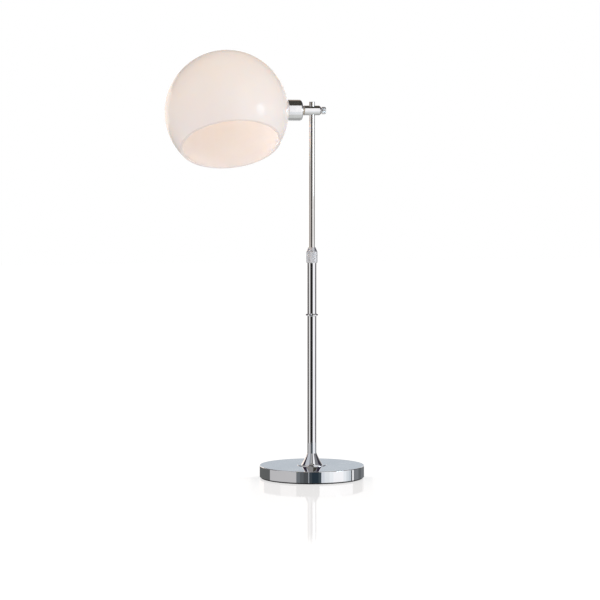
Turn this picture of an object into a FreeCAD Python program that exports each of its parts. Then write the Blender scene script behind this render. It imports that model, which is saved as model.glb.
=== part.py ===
"""Adjustable table lamp with an opal glass globe on a chrome stem and a round weighted foot.

Frame: millimetres, +Z up, origin at the centre of the foot pad's underside, on the stem's axis.
The arm runs along X: the globe hangs at -X and the clamp screw sticks out at +X.
The globe's mouth is rolled towards -Y, as it is when someone reads by the lamp.
"""

import FreeCAD, Part
import math
import os

from FreeCAD import Vector

# ---------------------------------------------------------------- driving dimensions
# foot
BASE_RADIUS = 86.0
BASE_TOP = 20.5
BASE_EDGE = 1.0            # rounding between the foot's top and its side
SHELL_WALL = 1.5
SKIRT_BOTTOM = 2.4         # the chrome skirt stops above the table
PAD_HEIGHT = 2.8
PAD_INSET = 2.5
WEIGHT_GAP = 0.5
POCKET_RADIUS = 15.0       # room under the weight for the stem's nut
WEIGHT_WEB = 3.0           # iron left above that pocket
CHANNEL_ROOM = 0.6         # round the cord inlet's barb

# cord inlet
INLET_BORE_RADIUS = 3.3
INLET_BODY_RADIUS = 5.0
INLET_BARB_RADIUS = 5.4
INLET_FLANGE_RADIUS = 6.8
INLET_FLANGE = 1.5
INLET_LENGTH = 9.0

# stem joint in the foot
NIPPLE_RADIUS = 5.0        # M10 hollow thread
NIPPLE_BORE = 3.6
NIPPLE_BELOW = 5.2         # how far the nipple reaches below the washer
NIPPLE_HOLE_GAP = 0.1
NUT_FLATS = 14.0
NUT_HEIGHT = 3.0
WASHER_RADIUS = 12.0
WASHER_HEIGHT = 1.5
TOOTHED_RADIUS = 8.5
TOOTHED_HEIGHT = 0.8
TOOTH_COUNT = 12

# foot rosette
ROSETTE_RADIUS = 24.0
ROSETTE_HEIGHT = 0.8
CONE_FOOT_RADIUS = 17.3
CONE_STEP = 0.3            # the cone's head stands out past the tube
CONE_HEIGHT = 19.7
CONE_WALL = 1.4
CONE_SAG = 0.45            # how far the cone's side curves in from straight

# outer tubes and their joint, sized round the rod that slides in them
TUBE_WALL = 1.0
LOWER_TUBE_LENGTH = 223.9
SLEEVE_LENGTH = 84.3
PLUG_LENGTH = 12.0
RING_STEP = 2.9            # the ring stands out past the tubes
RING_HEIGHT = 4.0
RING_BEVEL = 1.3
INSERT_LENGTH = 30.0
INSERT_WALL = 0.9
BUSH_WALL = 0.67
BUSH_LENGTH = 26.0
BUSH_FLANGE = 1.2

# height lock
COLLAR_STEP = 1.7          # the collar stands out past the tubes
COLLAR_GRIP = 19.0         # knurled height
COLLAR_CONE = 6.3
COLLAR_ROD_GAP = 0.3       # round the rod, in the collar's roof
COLLAR_TOP_LAND = 0.85     # width of the cone's flat top
COLLAR_SKIRT = 1.5         # how far the collar reaches down over the sleeve
COLLAR_ROOF = 3.8
COLLET_SHOULDER = 0.45     # the collet's thread is this much inside the tubes
COLLET_PLUG = 12.0
COLLET_THREAD = 12.8
COLLET_NOSE = 6.0
COLLET_TIP_WALL = 0.5      # the nose's wall at its thin end
COLLET_SLOT = 0.9
COLLET_SLOTS = 4
COLLET_SLOT_START = 5.0    # above the sleeve's end
PRESS_RING_DROP = 4.6      # how far the ring reaches down over the collet's nose

# sliding rod
ROD_RADIUS = 4.75
ROD_WALL = 1.0
ROD_HIDDEN = 74.0          # rod below the middle of the tube ring, at rest
ROD_ABOVE_ARM = 14.2       # rod above the arm's axis, its cap included
CAP_HEIGHT = 1.5
CAP_SPIGOT = 6.0
CAP_BEVEL = 0.5
GLIDER_HEIGHT = 7.0
GLIDER_SEAT = 0.5          # depth of the rod's seat for the glider
WINDOW_HEIGHT = 6.8        # the slot in the rod that the leads leave by
WINDOW_HALF_ANGLE = 75.0

# arm
ARM_HEIGHT = 599.0
HUB_WALL = 3.0             # round the spindle's bearing
HUB_TO_SHADE = 14.0
HUB_TO_SCREW = 14.6
HUB_SCREW_BEVEL = 2.8
HUB_SHADE_BEVEL = 0.8
LEAD_BORE = 3.2
SPINDLE_RADIUS = 5.0
SPINDLE_DEPTH = 6.2        # how deep the spindle sits in the hub
SPINDLE_FLANGE_INSET = 0.45
SPINDLE_FLANGE = 0.8
GROOVE_WIDTH = 2.6
GROOVE_DEPTH = 0.8
GROOVE_FROM_FACE = 3.0
GRUB_RADIUS = 1.5
GRUB_TIP_RADIUS = 1.0
GRUB_SOCKET_FLATS = 1.5
ROLL_LIMIT = 90.0          # degrees the mouth can roll either way from straight down
STOP_CLEARANCE = 1.0       # degrees left between the grub screw's tip and the groove's ends
FRICTION_WASHER = 0.6
FRICTION_WASHER_INSET = 0.65

# clamp screw
SCREW_RADIUS = 2.5
PAD_RADIUS = 2.1
PAD_LENGTH = 2.2
KNOB_RADIUS = 6.0
KNOB_LENGTH = 7.0
KNOB_BEVEL = 0.7
KNOB_NECK_RADIUS = 4.2
KNOB_NECK = 0.9            # clear gap between the hub's end and the knob

# socket cup
CUP_LENGTH = 26.3
CUP_ROOM = 2.2             # between the lampholder's thread and the cup
CUP_WALL = 1.2
CUP_BACK_WALL = 1.5
CUP_BACK_STEP = 0.25       # the cup's back stands out past the hub
CUP_SHOULDER_ANGLE = 21.0  # degrees between the cup's shoulder and a flat back
CUP_SHOULDER_ROUND = 4.0
CUP_NUT_FLATS = 14.0
CUP_NUT_HEIGHT = 3.5
CUP_WASHER = 0.8
CUP_WASHER_INSET = 0.3

# globe
GLOBE_RADIUS = 100.0
GLOBE_WALL = 3.0
MOUTH_DEPTH = 59.3         # globe centre to the plane of its mouth
MOUTH_ROLL = 29.0          # degrees from straight down, towards -Y
MOUTH_EASING = 0.6
NECK_ROOM = 0.7            # round the lampholder's thread, in the glass
GLASS_DROP = 3.2           # the ball's centre hangs this far under the arm's axis
OUTER_GASKET = 1.2         # cup rim to glass, on the rim's own radius, at its mean
INNER_GASKET = 1.7
INNER_GASKET_WIDTH = 5.3

# lampholder, small screw size with a 14 mm lamp cap
HOLDER_RADIUS = 14.0       # outer thread of the sleeve
HOLDER_SLEEVE_WALL = 1.6
HOLDER_PAST_GLASS = 13.6   # how far the sleeve stands inside the globe
HOLDER_CAP_LENGTH = 9.0
HOLDER_CAP_WALL = 2.0
HOLDER_CORE_ROOM = 0.8     # between the core and the sleeve
HOLDER_CORE_LENGTH = 10.0
CORE_SPIGOT = 2.0          # how far the core sits in the holder's cap
HOLDER_ENTRY = 5.0         # depth of the holder's threaded entry
CONTACT_RISE = 2.4         # the tongue's spring height above the core
SHELL_THREAD_WALL = 0.4
LAMP_THREAD_RADIUS = 6.9
LAMP_THREAD_DEPTH = 0.65
LAMP_THREAD_PITCH = 2.82
LAMP_THREAD_TURNS = 6
LAMP_FIT = 0.15
TERMINAL_RADIUS = 1.7
TERMINAL_OFFSET = 7.8
RING_NUT_STEP = 1.5        # the ring nut stands out past its gasket
RING_NUT_HEIGHT = 5.5
RING_NUT_NOTCHES = 24
RING_NUT_NOTCH_RADIUS = 1.3

# lamp
LAMP_RADIUS = 12.5
LAMP_LENGTH = 60.0         # glass, from the cap to the tip
LAMP_GLASS_WALL = 0.8
LAMP_NECK = 7.0
LAMP_BUTTON_RADIUS = 2.4
LAMP_INSULATOR_RADIUS = 4.0
LAMP_BUTTON_RISE = 1.8     # button and insulator behind the cap
LAMP_CAP_BACK = 0.8        # the cap's end wall, behind its thread

# fits
RUN = 0.05                 # radial running clearance
SLIDE = 0.08               # radial clearance of the nylon guides
THREAD = 0.04              # radial clearance drawn between mating threads
FACE = 0.05                # gap between faces that move on each other
EASE = 0.4                 # small chamfer on turned and moulded edges

# ---------------------------------------------------------------- radii worked out from them
INSERT_BORE = ROD_RADIUS + SLIDE + BUSH_WALL
TUBE_BORE = INSERT_BORE + INSERT_WALL
TUBE_RADIUS = TUBE_BORE + TUBE_WALL
GLIDER_RADIUS = TUBE_BORE - SLIDE
CONE_TOP_RADIUS = TUBE_RADIUS + CONE_STEP
RING_RADIUS = TUBE_RADIUS + RING_STEP
COLLAR_RADIUS = TUBE_RADIUS + COLLAR_STEP
COLLAR_ROD_BORE = ROD_RADIUS + COLLAR_ROD_GAP
COLLET_BORE = ROD_RADIUS + RUN
COLLET_THREAD_RADIUS = TUBE_RADIUS - COLLET_SHOULDER
COLLET_NOSE_RADIUS = COLLET_BORE + COLLET_TIP_WALL
PRESS_RING_RADIUS = COLLET_THREAD_RADIUS - RUN * 3
HUB_RADIUS = SPINDLE_RADIUS + RUN + HUB_WALL
SPINDLE_FLANGE_RADIUS = HUB_RADIUS - SPINDLE_FLANGE_INSET
FRICTION_WASHER_RADIUS = HUB_RADIUS - FRICTION_WASHER_INSET
CUP_RADIUS = HOLDER_RADIUS + CUP_ROOM + CUP_WALL
CUP_BACK_RADIUS = HUB_RADIUS + CUP_BACK_STEP
CUP_WASHER_RADIUS = CUP_BACK_RADIUS - CUP_WASHER_INSET
NECK_HOLE_RADIUS = HOLDER_RADIUS + NECK_ROOM
HOLDER_CORE_RADIUS = HOLDER_RADIUS - HOLDER_SLEEVE_WALL - HOLDER_CORE_ROOM
INNER_GASKET_RADIUS = NECK_HOLE_RADIUS + INNER_GASKET_WIDTH
RING_NUT_RADIUS = INNER_GASKET_RADIUS + RING_NUT_STEP
STEM_HOLE = NIPPLE_RADIUS + NIPPLE_HOLE_GAP
INNER_RADIUS = GLOBE_RADIUS - GLOBE_WALL

# ---------------------------------------------------------------- levels, from the table up
ROSETTE_TOP = BASE_TOP + ROSETTE_HEIGHT
CONE_TOP = ROSETTE_TOP + CONE_HEIGHT
LOWER_TUBE_TOP = CONE_TOP + LOWER_TUBE_LENGTH
RING_TOP = LOWER_TUBE_TOP + RING_HEIGHT
RING_MIDDLE = LOWER_TUBE_TOP + RING_HEIGHT / 2
SLEEVE_TOP = RING_TOP + SLEEVE_LENGTH
COLLAR_BOTTOM = SLEEVE_TOP - COLLAR_SKIRT
COLLAR_SHOULDER = COLLAR_BOTTOM + COLLAR_GRIP
COLLAR_TOP = COLLAR_SHOULDER + COLLAR_CONE
COLLET_THREAD_TOP = SLEEVE_TOP + COLLET_THREAD
COLLET_TOP = COLLET_THREAD_TOP + COLLET_NOSE
INLET_HEIGHT = (SKIRT_BOTTOM + BASE_TOP) / 2
CHANNEL_TOP = INLET_HEIGHT + INLET_BARB_RADIUS + CHANNEL_ROOM
WASHER_TOP = BASE_TOP - SHELL_WALL - WEIGHT_WEB
TOOTHED_TOP = WASHER_TOP - WASHER_HEIGHT
NUT_TOP = TOOTHED_TOP - TOOTHED_HEIGHT
ROD_BOTTOM = RING_MIDDLE - ROD_HIDDEN
ROD_TOP = ARM_HEIGHT + ROD_ABOVE_ARM - CAP_HEIGHT
NIPPLE_TOP = CONE_TOP + PLUG_LENGTH - 1.0

# distances along the arm, from the stem's axis towards the globe
WASHER_AT = HUB_TO_SHADE
FLANGE_AT = WASHER_AT + FRICTION_WASHER
CUP_AT = FLANGE_AT + SPINDLE_FLANGE
CUP_WASHER_AT = CUP_AT + CUP_BACK_WALL
CUP_NUT_AT = CUP_WASHER_AT + CUP_WASHER
CUP_RIM = CUP_AT + CUP_LENGTH
GLOBE_REACH = CUP_RIM + OUTER_GASKET + math.sqrt(GLOBE_RADIUS ** 2 - CUP_RADIUS ** 2)
GLASS_INSIDE = GLOBE_REACH - math.sqrt(INNER_RADIUS ** 2 - INNER_GASKET_RADIUS ** 2)
RING_NUT_AT = GLASS_INSIDE + INNER_GASKET
HOLDER_MOUTH = GLASS_INSIDE + HOLDER_PAST_GLASS
HOLDER_CAP_AT = CUP_NUT_AT + CUP_NUT_HEIGHT
SLEEVE_AT = HOLDER_CAP_AT + HOLDER_CAP_LENGTH
CORE_AT = SLEEVE_AT - CORE_SPIGOT
CORE_TOP = CORE_AT + HOLDER_CORE_LENGTH
LAMP_BACK_AT = CORE_TOP + CONTACT_RISE + LAMP_BUTTON_RISE
LAMP_CAP_AT = LAMP_BACK_AT + LAMP_CAP_BACK
LAMP_CAP_LENGTH = LAMP_THREAD_PITCH * LAMP_THREAD_TURNS
LAMP_GLASS_AT = LAMP_CAP_AT + LAMP_CAP_LENGTH
SPINDLE_END = HOLDER_CAP_AT + HOLDER_ENTRY - 0.5


# ---------------------------------------------------------------- building blocks
def turned(points):
    """A solid of revolution about Z. Each point is (radius, height); a point with a third
    entry (radius, height, (radius, height)) is reached by an arc through that middle place."""
    corners = [Vector(p[0], 0, p[1]) for p in points]
    edges = []
    for i, point in enumerate(points):
        before = corners[i - 1]
        here = corners[i]
        if before.distanceToPoint(here) < 1e-9:
            continue
        if len(point) == 3:
            middle = Vector(point[2][0], 0, point[2][1])
            edges.append(Part.Arc(before, middle, here).toShape())
        else:
            edges.append(Part.LineSegment(before, here).toShape())
    face = Part.Face(Part.Wire(Part.__sortEdges__(edges)))
    return face.revolve(Vector(0, 0, 0), Vector(0, 0, 1), 360)


def rounded(before, corner, after, radius):
    """Profile points that round off a corner: where the arc starts, and where it ends together
    with the place it passes through."""
    back = Vector(before[0] - corner[0], 0, before[1] - corner[1]).normalize()
    onward = Vector(after[0] - corner[0], 0, after[1] - corner[1]).normalize()
    half = back.getAngle(onward) / 2
    reach = radius / math.tan(half)
    inward = (back + onward).normalize() * (radius / math.sin(half) - radius)
    start = (corner[0] + back.x * reach, corner[1] + back.z * reach)
    via = (corner[0] + inward.x, corner[1] + inward.z)
    return [start, (corner[0] + onward.x * reach, corner[1] + onward.z * reach, via)]


def pipe(outer, inner, bottom, top):
    """An upright tube or washer."""
    return turned([(inner, bottom), (outer, bottom), (outer, top), (inner, top)])


def rod(radius, bottom, top):
    """An upright plain cylinder."""
    return Part.makeCylinder(radius, top - bottom, Vector(0, 0, bottom))


def hex_prism(flats, bottom, top):
    """An upright hexagonal bar, flats wide."""
    corner = flats / 2 / math.cos(math.radians(30))
    angles = [math.radians(60 * i) for i in range(7)]
    outline = [Vector(corner * math.cos(a), corner * math.sin(a), bottom) for a in angles]
    face = Part.Face(Part.makePolygon(outline))
    return face.extrude(Vector(0, 0, top - bottom))


def hex_nut(flats, bore, bottom, top, bevel=0.6):
    """A hexagonal nut with its corners turned off at both ends."""
    reach = flats / 2 / math.cos(math.radians(30))
    blank = turned([
        (0, bottom), (reach - bevel, bottom), (reach, bottom + bevel * 0.58),
        (reach, top - bevel * 0.58), (reach - bevel, top), (0, top)])
    nut = hex_prism(flats, bottom, top).common(blank)
    return nut.cut(rod(bore, bottom - 1, top + 1))


def around(shape, count, centre=Vector(0, 0, 0), axis=Vector(0, 0, 1)):
    """Copies of a shape evenly spaced round an axis."""
    copies = []
    for i in range(count):
        copy = shape.copy()
        copy.rotate(centre, axis, 360.0 * i / count)
        copies.append(copy)
    return copies


def along_arm(shape):
    """Lays a shape built upright on Z along the arm: its +Z becomes -X, towards the globe,
    its +X becomes up, and its origin goes to where the arm crosses the stem."""
    laid = shape.copy()
    laid.rotate(Vector(0, 0, 0), Vector(0, 1, 0), -90)
    laid.translate(Vector(0, 0, ARM_HEIGHT))
    return laid


def ring_sector(outer, inner, bottom, top, start, sweep):
    """Part of an upright ring, from the angle start through sweep degrees."""
    sector = Part.makeCylinder(outer, top - bottom, Vector(0, 0, bottom), Vector(0, 0, 1), sweep)
    sector = sector.cut(rod(inner, bottom - 1, top + 1))
    sector.rotate(Vector(0, 0, 0), Vector(0, 0, 1), start)
    return sector


def lamp_thread(radius, start):
    """The rolled thread of a lamp cap as ridges, from start upwards: profile points whose
    crests stand at radius and whose valleys are LAMP_THREAD_DEPTH lower."""
    valley = radius - LAMP_THREAD_DEPTH
    points = [(valley, start)]
    for turn in range(LAMP_THREAD_TURNS):
        low = start + turn * LAMP_THREAD_PITCH
        points.append((radius, low + LAMP_THREAD_PITCH * 0.35))
        points.append((radius, low + LAMP_THREAD_PITCH * 0.65))
        points.append((valley, low + LAMP_THREAD_PITCH))
    return points


# ---------------------------------------------------------------- foot
def base_shell():
    """The spun chrome cover: a flat top, a rounded edge and a straight skirt."""
    inside = BASE_RADIUS - SHELL_WALL
    cover = turned([
        (STEM_HOLE, BASE_TOP - SHELL_WALL),
        (inside, BASE_TOP - SHELL_WALL),
        (inside, SKIRT_BOTTOM),
        (BASE_RADIUS, SKIRT_BOTTOM),
        *rounded((BASE_RADIUS, SKIRT_BOTTOM), (BASE_RADIUS, BASE_TOP), (0, BASE_TOP), BASE_EDGE),
        (STEM_HOLE, BASE_TOP)])
    hole = Part.makeCylinder(INLET_BODY_RADIUS, SHELL_WALL * 4,
                             Vector(0, BASE_RADIUS - SHELL_WALL * 2, INLET_HEIGHT), Vector(0, 1, 0))
    return cover.cut(hole)


def base_weight():
    """The iron disc, with a pocket for the nut and a channel for the lead, both open below."""
    radius = BASE_RADIUS - SHELL_WALL - WEIGHT_GAP
    under_cover = BASE_TOP - SHELL_WALL
    chamfer = 1.5
    disc = turned([
        (STEM_HOLE, PAD_HEIGHT), (radius, PAD_HEIGHT),
        (radius, under_cover - chamfer), (radius - chamfer, under_cover),
        (STEM_HOLE, under_cover)])
    pocket = rod(POCKET_RADIUS, PAD_HEIGHT - 1, WASHER_TOP)
    half_width = INLET_BARB_RADIUS + CHANNEL_ROOM
    channel = Part.makeBox(half_width * 2, BASE_RADIUS, CHANNEL_TOP - PAD_HEIGHT + 1,
                           Vector(-half_width, POCKET_RADIUS / 2, PAD_HEIGHT - 1))
    return disc.cut(pocket).cut(channel)


def foot_pad():
    """The black foam pad glued under the weight."""
    radius = BASE_RADIUS - PAD_INSET
    return turned([(0, 0), (radius - EASE, 0), (radius, EASE), (radius, PAD_HEIGHT), (0, PAD_HEIGHT)])


def cord_bushing():
    """The snap-in bush of the cord inlet, at the back of the skirt. Its flange follows the skirt."""
    outside = BASE_RADIUS + INLET_FLANGE
    inner_end = outside - INLET_LENGTH
    barb = BASE_RADIUS - SHELL_WALL - 0.2
    body = turned([
        (INLET_BORE_RADIUS, inner_end), (INLET_BODY_RADIUS - 0.6, inner_end),
        (INLET_BARB_RADIUS, barb - 1.0), (INLET_BARB_RADIUS, barb),
        (INLET_BODY_RADIUS, barb), (INLET_BODY_RADIUS, BASE_RADIUS - 1.0),
        (INLET_FLANGE_RADIUS, BASE_RADIUS - 1.0), (INLET_FLANGE_RADIUS, outside - 0.5),
        (INLET_FLANGE_RADIUS - 0.5, outside), (INLET_BORE_RADIUS, outside)])
    body.rotate(Vector(0, 0, 0), Vector(1, 0, 0), -90)
    body.translate(Vector(0, 0, INLET_HEIGHT))
    skirt = pipe(BASE_RADIUS, BASE_RADIUS - SHELL_WALL, SKIRT_BOTTOM, BASE_TOP)
    through = Part.makeCylinder(INLET_BODY_RADIUS, INLET_LENGTH * 2,
                                Vector(0, BASE_RADIUS - INLET_LENGTH, INLET_HEIGHT), Vector(0, 1, 0))
    return body.cut(skirt.cut(through))


def stem_nipple():
    """The hollow threaded tube that ties weight, cover, rosette and stem together."""
    return pipe(NIPPLE_RADIUS, NIPPLE_BORE, TOOTHED_TOP - NIPPLE_BELOW, NIPPLE_TOP)


def stem_washer():
    return pipe(WASHER_RADIUS, STEM_HOLE, TOOTHED_TOP, WASHER_TOP)


def toothed_washer():
    """The lock washer, its rim cut into teeth."""
    disc = pipe(TOOTHED_RADIUS, STEM_HOLE, NUT_TOP, TOOTHED_TOP)
    notch = Part.makeBox(2.4, 1.2, TOOTHED_HEIGHT * 3,
                         Vector(TOOTHED_RADIUS - 1.6, -0.6, NUT_TOP - TOOTHED_HEIGHT))
    return disc.cut(Part.makeCompound(around(notch, TOOTH_COUNT)))


def stem_nut():
    return hex_nut(NUT_FLATS, NIPPLE_RADIUS + THREAD, NUT_TOP - NUT_HEIGHT, NUT_TOP)


def rosette():
    """The thin chrome disc under the cone."""
    edge = ROSETTE_HEIGHT * 0.5
    return turned([
        (STEM_HOLE, BASE_TOP), (ROSETTE_RADIUS, BASE_TOP),
        (ROSETTE_RADIUS - edge, ROSETTE_TOP,
         (ROSETTE_RADIUS - edge * 0.3, ROSETTE_TOP - edge * 0.6)),
        (STEM_HOLE, ROSETTE_TOP)])


def foot_cone():
    """The turned cone that the stem stands on: a thin hollow cone with a solid head."""
    lip = 0.6
    head = 3.0
    neck = 0.9
    low = ROSETTE_TOP
    middle_z = (low + lip + CONE_TOP - neck) / 2
    middle_r = (CONE_FOOT_RADIUS + CONE_TOP_RADIUS) / 2
    return turned([
        (CONE_FOOT_RADIUS - CONE_WALL, low),
        (CONE_FOOT_RADIUS, low),
        (CONE_FOOT_RADIUS, low + lip),
        (CONE_TOP_RADIUS, CONE_TOP - neck, (middle_r - CONE_SAG, middle_z - CONE_SAG / 2)),
        (CONE_TOP_RADIUS, CONE_TOP),
        (STEM_HOLE, CONE_TOP),
        (STEM_HOLE, CONE_TOP - head),
        (CONE_TOP_RADIUS + 0.5, CONE_TOP - head - 0.6),
        (CONE_FOOT_RADIUS - CONE_WALL, low + lip, (middle_r - CONE_SAG - CONE_WALL, middle_z - 1.6))])


# ---------------------------------------------------------------- stem tubes
def tube_plug():
    """The threaded plug brazed into the foot of the lower tube."""
    return pipe(TUBE_BORE, NIPPLE_RADIUS + THREAD, CONE_TOP, CONE_TOP + PLUG_LENGTH)


def lower_tube():
    return pipe(TUBE_RADIUS, TUBE_BORE, CONE_TOP, LOWER_TUBE_TOP)


def tube_ring():
    """The bevelled ring that covers the joint of the two outer tubes."""
    bore = TUBE_BORE + THREAD
    return turned([
        (bore, LOWER_TUBE_TOP),
        (RING_RADIUS - RING_BEVEL * 1.3, LOWER_TUBE_TOP),
        (RING_RADIUS, LOWER_TUBE_TOP + RING_BEVEL),
        (RING_RADIUS, RING_TOP - RING_BEVEL),
        (RING_RADIUS - RING_BEVEL * 1.3, RING_TOP),
        (bore, RING_TOP)])


def joint_insert():
    """The threaded sleeve inside both tubes and the ring."""
    return pipe(TUBE_BORE, INSERT_BORE, RING_MIDDLE - INSERT_LENGTH / 2, RING_MIDDLE + INSERT_LENGTH / 2)


def guide_bush():
    """The nylon bush that steadies the rod at the tube ring, with a flange on the insert's end."""
    top = RING_MIDDLE + INSERT_LENGTH / 2
    bore = ROD_RADIUS + SLIDE
    return turned([
        (bore, top - BUSH_LENGTH), (INSERT_BORE, top - BUSH_LENGTH), (INSERT_BORE, top),
        (TUBE_BORE - 0.1, top), (TUBE_BORE - 0.1, top + BUSH_FLANGE), (bore + EASE, top + BUSH_FLANGE),
        (bore, top + BUSH_FLANGE - EASE)])


def sleeve_tube():
    return pipe(TUBE_RADIUS, TUBE_BORE, RING_TOP, SLEEVE_TOP)


# ---------------------------------------------------------------- height lock
def nose_radius(height):
    """Outside radius of the collet's tapered nose at a height above the nose's start."""
    share = height / COLLET_NOSE
    return COLLET_THREAD_RADIUS - 0.35 + (COLLET_NOSE_RADIUS - COLLET_THREAD_RADIUS + 0.35) * share


def collet():
    """The split clamp: a plug in the sleeve, a thread for the collar, and four springy
    fingers with a tapered nose that close on the rod."""
    bore = COLLET_BORE
    relief = bore + 0.35
    body = turned([
        (relief, SLEEVE_TOP - COLLET_PLUG), (TUBE_BORE, SLEEVE_TOP - COLLET_PLUG),
        (TUBE_BORE, SLEEVE_TOP), (COLLET_THREAD_RADIUS, SLEEVE_TOP),
        (COLLET_THREAD_RADIUS, COLLET_THREAD_TOP), (nose_radius(0), COLLET_THREAD_TOP),
        (nose_radius(COLLET_NOSE), COLLET_TOP), (bore, COLLET_TOP),
        (bore, SLEEVE_TOP + COLLET_SLOT_START), (relief, SLEEVE_TOP + COLLET_SLOT_START - 0.6)])
    slot_height = COLLET_TOP - SLEEVE_TOP - COLLET_SLOT_START
    slot = Part.makeBox(COLLET_THREAD_RADIUS * 2, COLLET_SLOT, slot_height + 1,
                        Vector(0, -COLLET_SLOT / 2, SLEEVE_TOP + COLLET_SLOT_START))
    return body.cut(Part.makeCompound(around(slot, COLLET_SLOTS)))


def press_ring():
    """The ring that the collar pushes down over the collet's nose without turning."""
    top = COLLAR_TOP - COLLAR_ROOF - FACE
    low = COLLET_TOP - PRESS_RING_DROP
    low_inside = nose_radius(low - COLLET_THREAD_TOP) + FACE
    high_inside = nose_radius(COLLET_NOSE) + FACE
    return turned([
        (low_inside, low), (PRESS_RING_RADIUS, low), (PRESS_RING_RADIUS, top),
        (high_inside, top), (high_inside, COLLET_TOP)])


def lock_collar():
    """The knurled nut of the height lock: a straight grip, a cone and a bore for the rod."""
    thread = COLLET_THREAD_RADIUS + RUN
    mouth = TUBE_RADIUS + RUN * 2
    roof = COLLAR_TOP - COLLAR_ROOF
    edge = 0.5
    return turned([
        (mouth, COLLAR_BOTTOM), (COLLAR_RADIUS - edge, COLLAR_BOTTOM),
        (COLLAR_RADIUS, COLLAR_BOTTOM + edge), (COLLAR_RADIUS, COLLAR_SHOULDER - edge),
        (COLLAR_RADIUS - edge * 1.2, COLLAR_SHOULDER),
        (COLLAR_ROD_BORE + COLLAR_TOP_LAND, COLLAR_TOP), (COLLAR_ROD_BORE, COLLAR_TOP),
        (COLLAR_ROD_BORE, roof), (thread, roof),
        (thread, SLEEVE_TOP + 0.5), (mouth, SLEEVE_TOP + 0.5)])


# ---------------------------------------------------------------- sliding rod
def upper_rod():
    """The sliding tube, with a seat for the glider below and a window for the leads above."""
    seat = ROD_RADIUS - GLIDER_SEAT
    seat_low = ROD_BOTTOM + 1.0
    tube = turned([
        (ROD_RADIUS - ROD_WALL, ROD_BOTTOM), (ROD_RADIUS, ROD_BOTTOM), (ROD_RADIUS, seat_low),
        (seat, seat_low), (seat, seat_low + GLIDER_HEIGHT), (ROD_RADIUS, seat_low + GLIDER_HEIGHT),
        (ROD_RADIUS, ROD_TOP), (ROD_RADIUS - ROD_WALL, ROD_TOP)])
    window = Part.makeCylinder(ROD_RADIUS + 1, WINDOW_HEIGHT,
                               Vector(0, 0, ARM_HEIGHT - WINDOW_HEIGHT / 2), Vector(0, 0, 1),
                               WINDOW_HALF_ANGLE * 2)
    window.rotate(Vector(0, 0, 0), Vector(0, 0, 1), 180 - WINDOW_HALF_ANGLE)
    return tube.cut(window)


def rod_cap():
    """The plug that closes the rod's top."""
    spigot = ROD_RADIUS - ROD_WALL
    top = ROD_TOP + CAP_HEIGHT
    return turned([
        (0, ROD_TOP - CAP_SPIGOT), (spigot - EASE, ROD_TOP - CAP_SPIGOT),
        (spigot, ROD_TOP - CAP_SPIGOT + EASE), (spigot, ROD_TOP), (ROD_RADIUS, ROD_TOP),
        (ROD_RADIUS, top - CAP_BEVEL), (ROD_RADIUS - CAP_BEVEL, top), (0, top)])


def rod_glider():
    """The nylon ring clipped into the rod's seat. It slides in the lower tube, stops the rod
    from being pulled out past the joint insert, and lets the rod turn in it."""
    low = ROD_BOTTOM + 1.0 + FACE
    high = low + GLIDER_HEIGHT - FACE * 2
    bore = ROD_RADIUS - GLIDER_SEAT + RUN
    ring = turned([
        (bore, low), (GLIDER_RADIUS - 0.5, low), (GLIDER_RADIUS, low + 0.5),
        (GLIDER_RADIUS, high - 0.5), (GLIDER_RADIUS - 0.5, high), (bore, high)])
    slit = Part.makeBox(GLIDER_RADIUS * 2, 0.8, GLIDER_HEIGHT * 2, Vector(0, -0.4, low - 1))
    return ring.cut(slit)


# ---------------------------------------------------------------- arm
def hub():
    """The cross cylinder on the rod: an upright bore for the rod, a bearing for the shade's
    spindle on one side, a tapped hole for the clamp screw on the other, and a grub screw hole."""
    belly = HUB_SCREW_BEVEL * 0.42
    body = turned([
        (0, -HUB_TO_SCREW), (HUB_RADIUS - HUB_SCREW_BEVEL, -HUB_TO_SCREW),
        (HUB_RADIUS, -HUB_TO_SCREW + HUB_SCREW_BEVEL, (HUB_RADIUS - belly, -HUB_TO_SCREW + belly)),
        (HUB_RADIUS, HUB_TO_SHADE - HUB_SHADE_BEVEL), (HUB_RADIUS - HUB_SHADE_BEVEL, HUB_TO_SHADE),
        (0, HUB_TO_SHADE)])
    bearing = rod(SPINDLE_RADIUS + RUN, HUB_TO_SHADE - SPINDLE_DEPTH, HUB_TO_SHADE + 1)
    leads = rod(LEAD_BORE, 0, HUB_TO_SHADE)
    tapped = rod(SCREW_RADIUS + RUN, -HUB_TO_SCREW - 1, 0)
    grub = Part.makeCylinder(GRUB_RADIUS + THREAD, HUB_RADIUS + 1,
                             Vector(0, 0, HUB_TO_SHADE - GROOVE_FROM_FACE), Vector(-1, 0, 0))
    laid = along_arm(body.cut(bearing).cut(leads).cut(tapped).cut(grub))
    rod_bore = rod(ROD_RADIUS + RUN, ARM_HEIGHT - HUB_RADIUS - 1, ARM_HEIGHT + HUB_RADIUS + 1)
    return laid.cut(rod_bore)


def grub_screw():
    """The set screw under the hub, whose tip runs in the spindle's groove."""
    tip = SPINDLE_RADIUS - GROOVE_DEPTH + RUN * 2
    seat = SPINDLE_RADIUS + 0.2
    head = HUB_RADIUS - 0.6
    screw = turned([
        (0, -head), (GRUB_RADIUS, -head), (GRUB_RADIUS, -seat), (GRUB_TIP_RADIUS, -seat),
        (GRUB_TIP_RADIUS, -tip), (0, -tip)])
    screw = screw.cut(hex_prism(GRUB_SOCKET_FLATS, -head - 1, -head + 1.2))
    screw.translate(Vector(-(HUB_TO_SHADE - GROOVE_FROM_FACE), 0, ARM_HEIGHT))
    return screw


def friction_washer():
    """The fibre washer between the hub and the spindle's flange."""
    return along_arm(pipe(FRICTION_WASHER_RADIUS, SPINDLE_RADIUS + RUN, WASHER_AT,
                          FLANGE_AT - FACE))


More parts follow.
